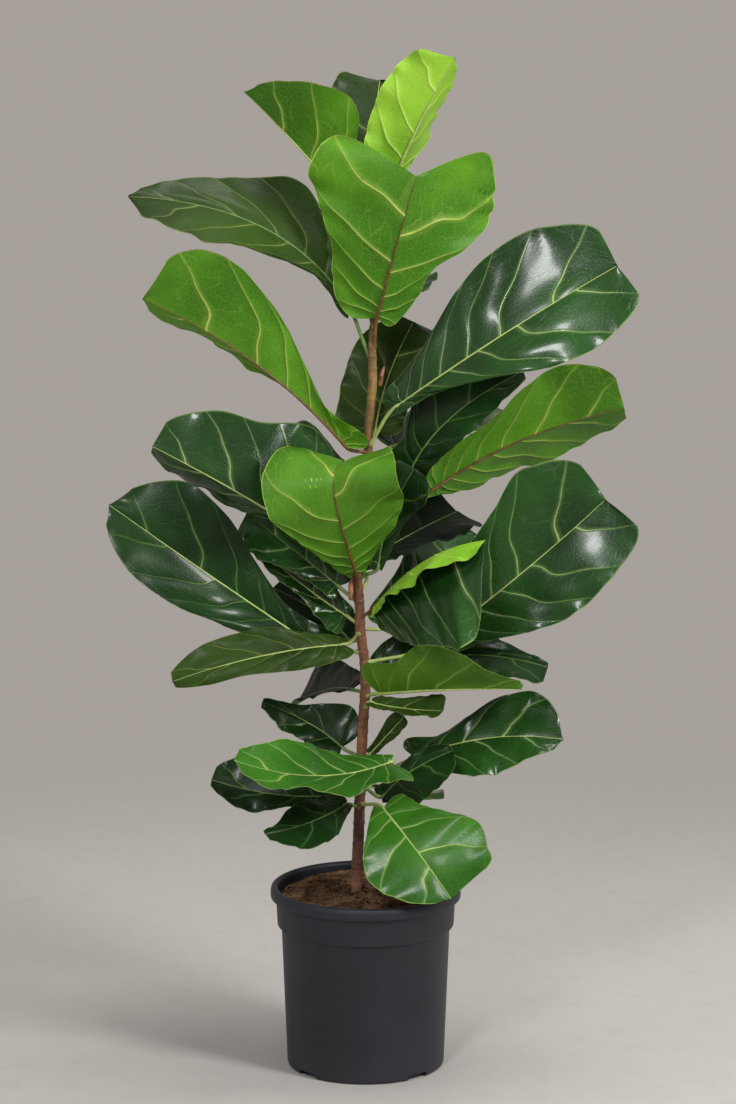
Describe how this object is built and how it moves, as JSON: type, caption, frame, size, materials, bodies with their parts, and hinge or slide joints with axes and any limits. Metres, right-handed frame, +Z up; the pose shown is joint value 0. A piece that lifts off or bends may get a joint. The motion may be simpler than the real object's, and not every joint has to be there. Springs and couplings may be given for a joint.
{
  "type": "potted fiddle leaf fig",
  "caption": "Young single-stemmed fiddle leaf fig with large glossy lyre-shaped leaves, standing in soil in a plain black nursery pot.",
  "frame": {"origin": "centre of the pot's underside, on the plane the pot stands on", "axes": "+Z up along the pot's axis; -Y is the plant's front, +X its right seen from the front"},
  "size_m": [0.6546, 0.4323, 1.281],
  "materials": {
    "pot_plastic": "matte",
    "soil": "matte",
    "bark": "matte",
    "sheath": "matte",
    "leaf_dark": "satin",
    "leaf_bright": "satin",
    "leaf_young": "satin"
  },
  "bodies": {
    "root": {"pot": "pot_plastic", "soil": "soil", "stem": "bark", "sheath_01": "sheath", "sheath_02": "sheath", "sheath_03": "sheath", "end_bud": "sheath", "leaf_01": "leaf_dark", "leaf_02": "leaf_dark", "leaf_03": "leaf_dark", "leaf_04": "leaf_dark", "leaf_05": "leaf_dark", "leaf_06": "leaf_dark", "leaf_07": "leaf_dark", "leaf_08": "leaf_dark", "leaf_09": "leaf_dark", "leaf_10": "leaf_dark", "leaf_11": "leaf_bright", "leaf_12": "leaf_dark", "leaf_13": "leaf_dark", "leaf_14": "leaf_dark", "leaf_15": "leaf_dark", "leaf_16": "leaf_dark", "leaf_17": "leaf_dark", "leaf_18": "leaf_dark", "leaf_19": "leaf_dark", "leaf_20": "leaf_dark", "leaf_21": "leaf_dark", "leaf_22": "leaf_dark", "leaf_23": "leaf_young", "leaf_24": "leaf_dark", "leaf_25": "leaf_dark", "leaf_26": "leaf_young", "leaf_27": "leaf_dark", "leaf_28": "leaf_dark", "leaf_29": "leaf_dark", "leaf_30": "leaf_bright", "leaf_31": "leaf_dark", "leaf_32": "leaf_dark", "leaf_33": "leaf_bright", "leaf_34": "leaf_dark", "leaf_35": "leaf_dark", "leaf_36": "leaf_dark", "leaf_37": "leaf_bright", "leaf_38": "leaf_dark", "leaf_39": "leaf_dark", "leaf_40": "leaf_bright", "leaf_41": "leaf_young"}
  },
  "joints": []
}
